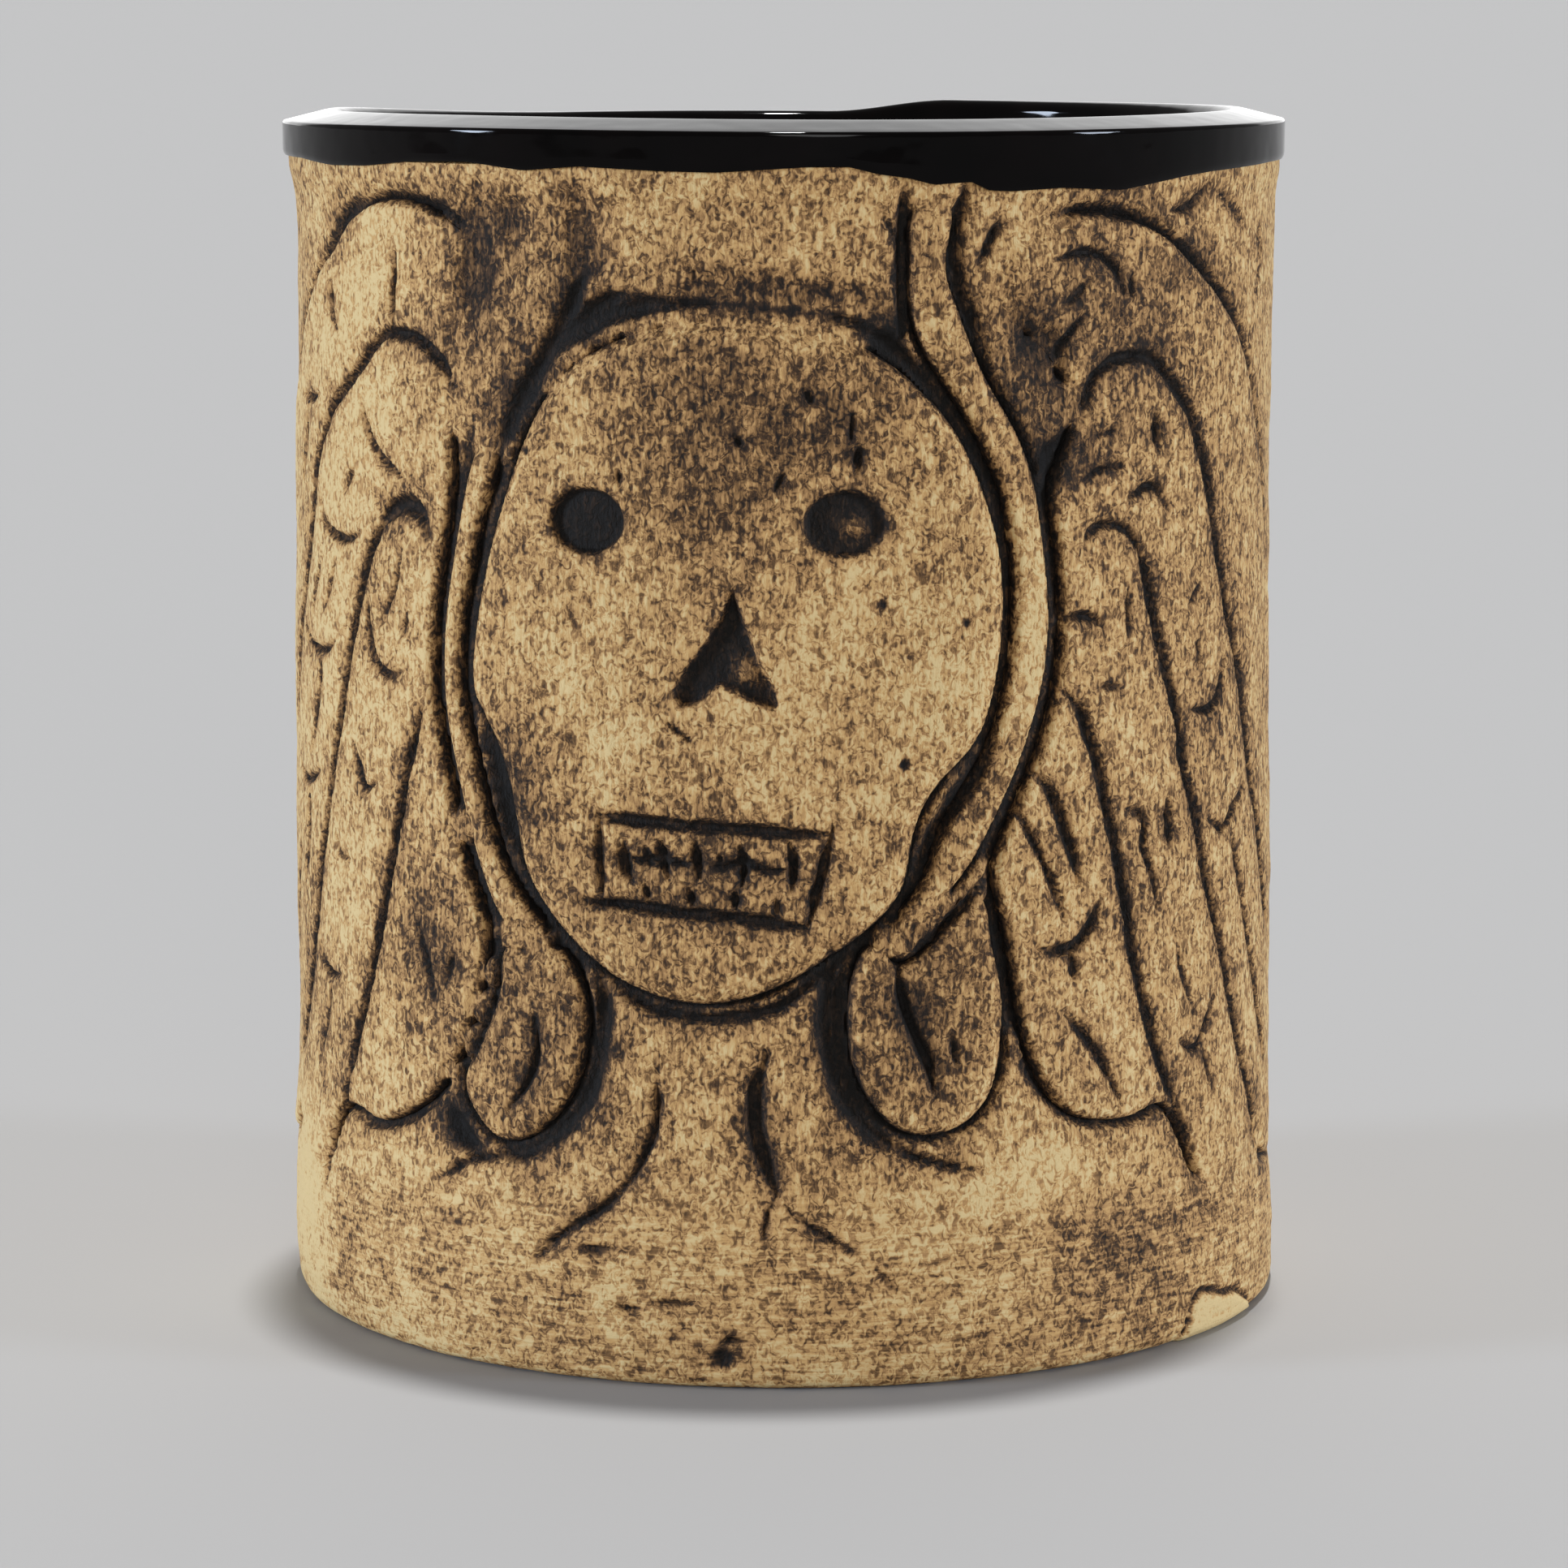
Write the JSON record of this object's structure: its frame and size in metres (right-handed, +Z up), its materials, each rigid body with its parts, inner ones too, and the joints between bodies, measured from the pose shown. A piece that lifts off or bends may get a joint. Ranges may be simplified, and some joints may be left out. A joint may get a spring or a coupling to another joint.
{
  "type": "stoneware mug",
  "caption": "Handle-less slab-built stoneware mug: straight cylinder with a winged skull in low relief, dark-stained clay outside, gloss black rim and liner.",
  "frame": {"origin": "centre of the flat foot, on the surface the mug stands on", "axes": "+Z up along the mug's axis, -Y out of the front, the side with the skull, +X to the viewer's right"},
  "size_m": [0.0866, 0.0866, 0.1025],
  "materials": {
    "stained_clay": "matt",
    "plain_clay": "matt",
    "black_glaze": "gloss"
  },
  "bodies": {
    "root": {"wall_slab": "stained_clay", "base_slab": "stained_clay", "skull_relief": "stained_clay", "left_hood_band": "stained_clay", "right_hood_band": "stained_clay", "left_lappet": "stained_clay", "right_lappet": "stained_clay", "left_wing": "stained_clay", "right_wing": "stained_clay", "base_seam_coil": "plain_clay", "liner_glaze": "black_glaze", "rim_glaze": "black_glaze"}
  },
  "joints": []
}
